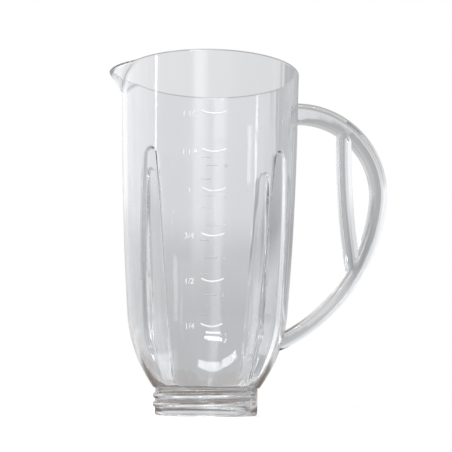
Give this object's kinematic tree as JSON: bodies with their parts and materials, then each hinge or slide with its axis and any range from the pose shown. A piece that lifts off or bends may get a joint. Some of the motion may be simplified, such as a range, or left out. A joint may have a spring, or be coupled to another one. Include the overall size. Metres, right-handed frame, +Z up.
{
  "type": "blender jar",
  "caption": "Clear moulded blender jar: tapered bowl with a pouring spout and inside mixing ribs, an open threaded neck for a blade base, and a looped side handle with a strut.",
  "frame": {"origin": "centre of the neck's bottom face, on the axis of the bowl", "axes": "+Z up along the axis of the bowl, +X towards the handle, -X towards the spout"},
  "size_m": [0.1919, 0.122, 0.232],
  "materials": {
    "clear_plastic": "clear, polished inside and out"
  },
  "bodies": {
    "root": {"jar": "clear_plastic"}
  },
  "joints": []
}
